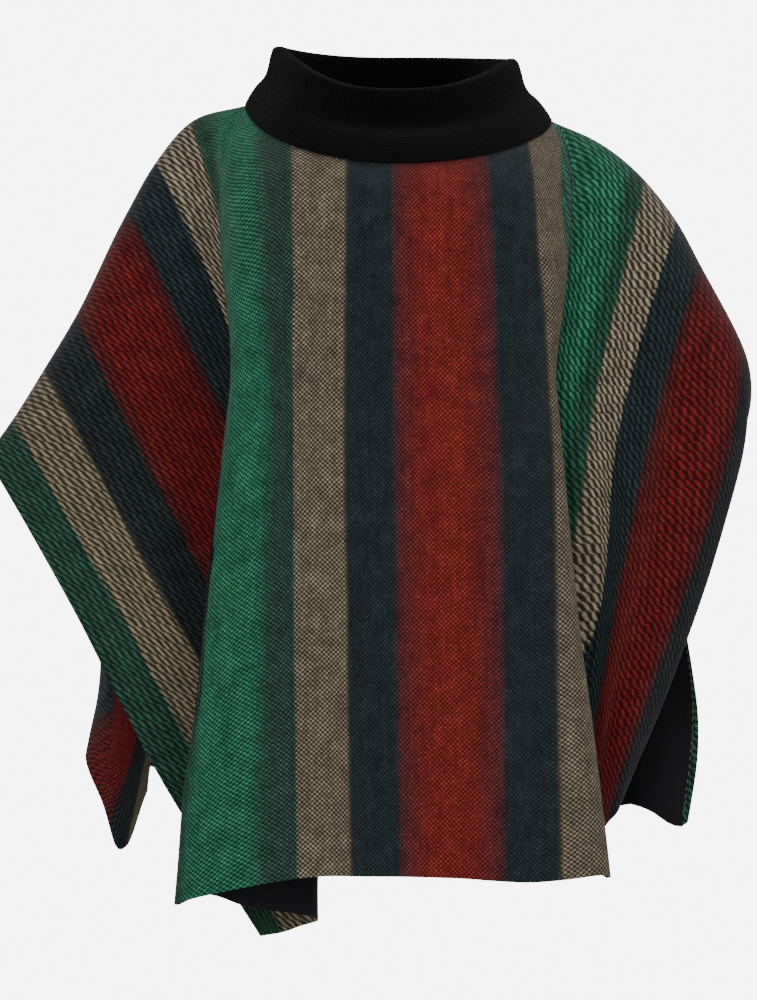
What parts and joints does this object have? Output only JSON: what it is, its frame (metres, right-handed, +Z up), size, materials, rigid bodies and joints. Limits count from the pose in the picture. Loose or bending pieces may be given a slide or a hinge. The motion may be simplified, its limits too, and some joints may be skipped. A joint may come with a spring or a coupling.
{
  "type": "wool poncho",
  "caption": "Striped blanket-wool poncho with a black lining and a black knit funnel collar, in its worn form, hollow inside.",
  "frame": {"origin": "middle of the neck opening at shoulder height, where a wearer's neck and shoulders hold the garment", "axes": "+Z up, the front of the garment faces -Y, +X to the right as seen from the front"},
  "size_m": [0.6891, 0.3375, 0.7992],
  "materials": {
    "striped_wool": "woven, matt, brushed",
    "black_lining": "woven, matt",
    "black_knit": "fine rib knit, matt"
  },
  "bodies": {
    "root": {"front_panel": "striped_wool", "back_panel": "striped_wool", "front_lining": "black_lining", "back_lining": "black_lining", "knit_collar": "black_knit"}
  },
  "joints": []
}
